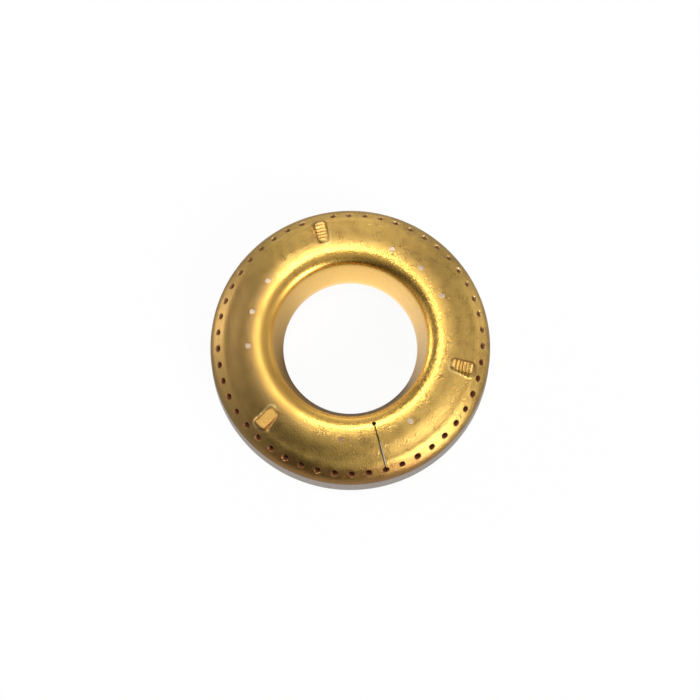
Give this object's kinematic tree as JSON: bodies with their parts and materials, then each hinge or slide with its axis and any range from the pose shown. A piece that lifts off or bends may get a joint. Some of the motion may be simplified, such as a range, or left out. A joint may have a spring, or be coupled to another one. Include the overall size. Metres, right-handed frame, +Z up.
{
  "type": "gas burner cap",
  "caption": "Forged brass ring cap for a gas burner: domed top round a wide opening, drilled flame ports on the shoulder, raised lugs, a flame slit and a hollow gas channel underneath.",
  "frame": {"origin": "centre of the plane of the standing rim, on the cap's axis", "axes": "+Z up along the cap's axis, out of the domed top; +Y towards the first toothed lug; -Y towards the flame slit"},
  "size_m": [0.0998, 0.0998, 0.0188],
  "materials": {
    "forged_brass": "satin, blasted forging skin on the dome, fine turned outer wall and rims"
  },
  "bodies": {
    "root": {"burner_cap": "forged_brass"}
  },
  "joints": []
}
